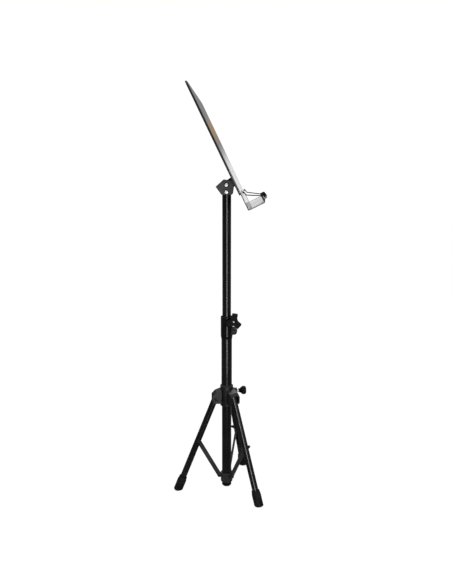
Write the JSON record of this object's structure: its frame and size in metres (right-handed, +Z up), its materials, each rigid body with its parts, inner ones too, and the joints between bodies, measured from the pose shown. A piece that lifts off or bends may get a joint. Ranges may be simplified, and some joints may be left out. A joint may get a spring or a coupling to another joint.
{
  "type": "conductor music stand",
  "caption": "Floor-standing music stand: folding braced tripod, clamped telescopic column, tilt head and a folded sheet desk with ledge and wire page holders.",
  "frame": {"origin": "on the floor, on the axis of the column", "axes": "+Z up the column, +X towards the reader, in front of the desk"},
  "size_m": [0.2921, 0.5, 1.2507],
  "materials": {
    "tube_paint": "satin gloss black powder coat",
    "desk_paint": "semi-gloss black powder coat",
    "black_nylon": "moulded, fine texture",
    "foot_rubber": "matt",
    "zinc": "bright zinc plate",
    "black_pins": "black oxide",
    "black_wire": "black"
  },
  "bodies": {
    "base": {"outer_tube": "tube_paint", "tripod_hub": "black_nylon", "hub_pins": "black_pins", "clamp_collar": "black_nylon", "clamp_bush": "black_nylon", "clamp_bolt": "black_pins", "clamp_bolt_nut": "black_pins", "clamp_nut": "black_pins"},
    "centre": {"lower_tube": "tube_paint", "tube_cap": "black_nylon", "brace_collar": "tube_paint", "collar_pins": "black_pins"},
    "leg_left": {"leg_left": "tube_paint", "foot_left": "foot_rubber", "brace_pin_left": "black_pins"},
    "brace_left": {"brace_left": "tube_paint"},
    "leg_front": {"leg_front": "tube_paint", "foot_front": "foot_rubber", "brace_pin_front": "black_pins"},
    "brace_front": {"brace_front": "tube_paint"},
    "leg_rear": {"leg_rear": "tube_paint", "foot_rear": "foot_rubber", "brace_pin_rear": "black_pins"},
    "brace_rear": {"brace_rear": "tube_paint"},
    "hub_knob": {"hub_knob": "black_nylon", "hub_stud": "zinc"},
    "clamp_knob": {"clamp_knob": "black_nylon", "clamp_stud": "black_pins"},
    "glide": {"tube_glide": "black_nylon"},
    "mast": {"upper_tube": "tube_paint", "head_near": "black_nylon", "head_far": "black_nylon", "head_bolts": "zinc", "head_nuts": "zinc"},
    "desk": {"desk_panel": "desk_paint", "desk_bracket": "tube_paint", "desk_rivets": "black_pins", "tilt_washers": "black_nylon", "holder_clip_near": "black_nylon", "holder_clip_far": "black_nylon"},
    "holder_near": {"page_holder_near": "black_wire"},
    "holder_far": {"page_holder_far": "black_wire"}
  },
  "joints": [
    {"name": "leg_left_fold", "type": "hinge", "parent": "base", "child": "leg_left", "pos_m": [-0.03612, -0.00702, 0.307], "axis": [0.1908, -0.9816, 0], "range_deg": [0, 18]},
    {"name": "leg_front_fold", "type": "hinge", "parent": "base", "child": "leg_front", "pos_m": [0.02414, -0.02777, 0.307], "axis": [0.7547, 0.6561, 0], "range_deg": [0, 18]},
    {"name": "leg_rear_fold", "type": "hinge", "parent": "base", "child": "leg_rear", "pos_m": [0.01198, 0.03479, 0.307], "axis": [-0.9455, 0.3256, 0], "range_deg": [0, 18]},
    {"name": "centre_slide", "type": "slide", "parent": "base", "child": "centre", "axis": [0, 0, 1], "range_m": [-0.0268, 0]},
    {"name": "brace_left_swing", "type": "hinge", "parent": "centre", "child": "brace_left", "pos_m": [-0.02415, -0.00469, 0.04], "axis": [0.1908, -0.9816, 0], "range_deg": [-19.72, 0]},
    {"name": "brace_front_swing", "type": "hinge", "parent": "centre", "child": "brace_front", "pos_m": [0.01614, -0.01857, 0.04], "axis": [0.7547, 0.6561, 0], "range_deg": [-19.72, 0]},
    {"name": "brace_rear_swing", "type": "hinge", "parent": "centre", "child": "brace_rear", "pos_m": [0.00801, 0.02326, 0.04], "axis": [-0.9455, 0.3256, 0], "range_deg": [-19.72, 0]},
    {"name": "hub_knob_turn", "type": "hinge", "parent": "base", "child": "hub_knob", "pos_m": [0, 0, 0.3285], "axis": [0.9816, 0.1908, 0], "range_deg": [0, 360]},
    {"name": "clamp_knob_turn", "type": "hinge", "parent": "base", "child": "clamp_knob", "pos_m": [0.023, 0, 0.565], "axis": [0, -1, 0], "range_deg": [0, 360]},
    {"name": "height_slide", "type": "slide", "parent": "base", "child": "glide", "axis": [0, 0, 1], "range_m": [-0.285, 0.13]},
    {"name": "mast_turn", "type": "hinge", "parent": "glide", "child": "mast", "pos_m": [0, 0, 0.983], "axis": [0, 0, 1], "continuous": true},
    {"name": "desk_tilt", "type": "hinge", "parent": "mast", "child": "desk", "pos_m": [0, 0, 0.983], "axis": [0, 1, 0], "range_deg": [-64, 20]},
    {"name": "holder_near_swing", "type": "hinge", "parent": "desk", "child": "holder_near", "pos_m": [0.10553, -0.07, 0.95369], "axis": [0, 1, 0], "range_deg": [0, 105]},
    {"name": "holder_far_swing", "type": "hinge", "parent": "desk", "child": "holder_far", "pos_m": [0.10553, 0.07, 0.95369], "axis": [0, 1, 0], "range_deg": [0, 105]}
  ],
  "couplings": [
    {"joint": "leg_front_fold", "follows": "leg_left_fold", "ratio": 1},
    {"joint": "leg_rear_fold", "follows": "leg_left_fold", "ratio": 1},
    {"joint": "centre_slide", "follows": "leg_left_fold", "m_per_rad": -0.084647},
    {"joint": "brace_left_swing", "follows": "leg_left_fold", "ratio": -1.0898},
    {"joint": "brace_front_swing", "follows": "leg_left_fold", "ratio": -1.0898},
    {"joint": "brace_rear_swing", "follows": "leg_left_fold", "ratio": -1.0898}
  ]
}
